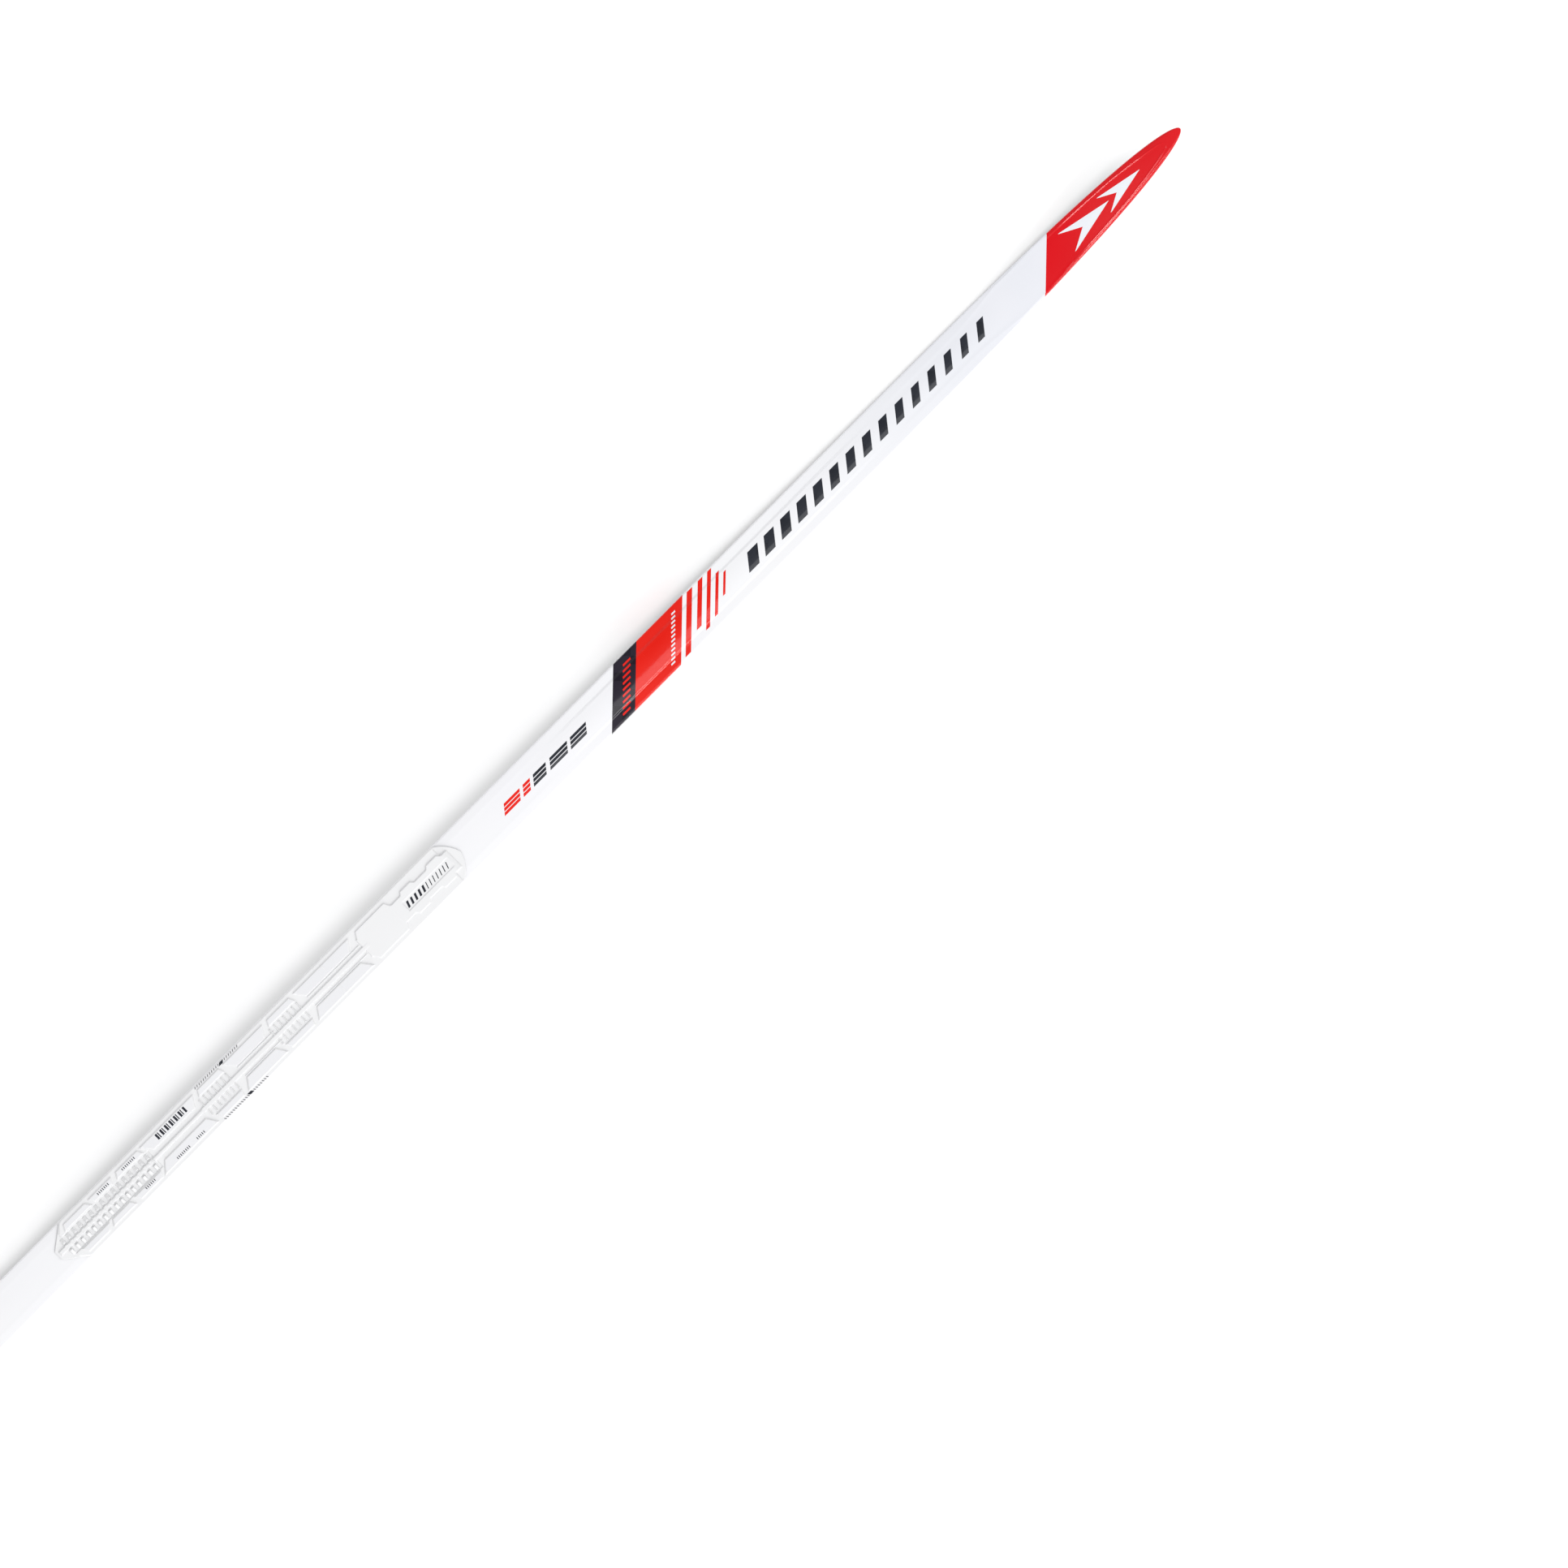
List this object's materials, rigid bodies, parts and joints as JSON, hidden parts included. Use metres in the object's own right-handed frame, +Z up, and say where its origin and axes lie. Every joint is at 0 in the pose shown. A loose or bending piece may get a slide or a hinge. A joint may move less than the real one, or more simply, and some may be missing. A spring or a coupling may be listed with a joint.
{
  "type": "cross country ski",
  "caption": "Long narrow laminated snow ski with an upturned tip, an arched middle, a grooved running base and a moulded plate that a binding slides onto.",
  "frame": {"origin": "centre of the bounding box's bottom face: on the ground plane that both contact zones stand on, midway between tip and tail, on the centre line", "axes": "+X along the ski to the tip, +Y to the skier's left, +Z up"},
  "size_m": [2.01, 0.044, 0.0628],
  "materials": {
    "base_sheet": "dark sintered running surface with a fine ground structure",
    "glass_ply": "pale resin and glass fibre",
    "carbon_ply": "black resin and carbon fibre",
    "spacer": "dark moulded filler",
    "light_foam": "fine closed cell foam",
    "dense_foam": "dense closed cell foam",
    "mat": "woven fibre mat in resin",
    "lacquer": "glossy white printed film",
    "print_red": "glossy red print under clear lacquer",
    "print_black": "glossy black print under clear lacquer",
    "glue": "grey adhesive",
    "plate": "satin white moulded plastic",
    "protector": "dark moulded plastic"
  },
  "bodies": {
    "root": {"running_base": "base_sheet", "base_glass_ply": "glass_ply", "base_carbon_ply": "carbon_ply", "tail_spacer": "spacer", "core_tail": "light_foam", "core_waist": "dense_foam", "core_shovel": "light_foam", "tip_spacer": "spacer", "binding_mat": "mat", "cap_carbon_ply": "carbon_ply", "top_sheet": "lacquer", "plate_glue_pad": "glue", "binding_plate": "plate", "tail_protector": "protector"}
  },
  "joints": []
}
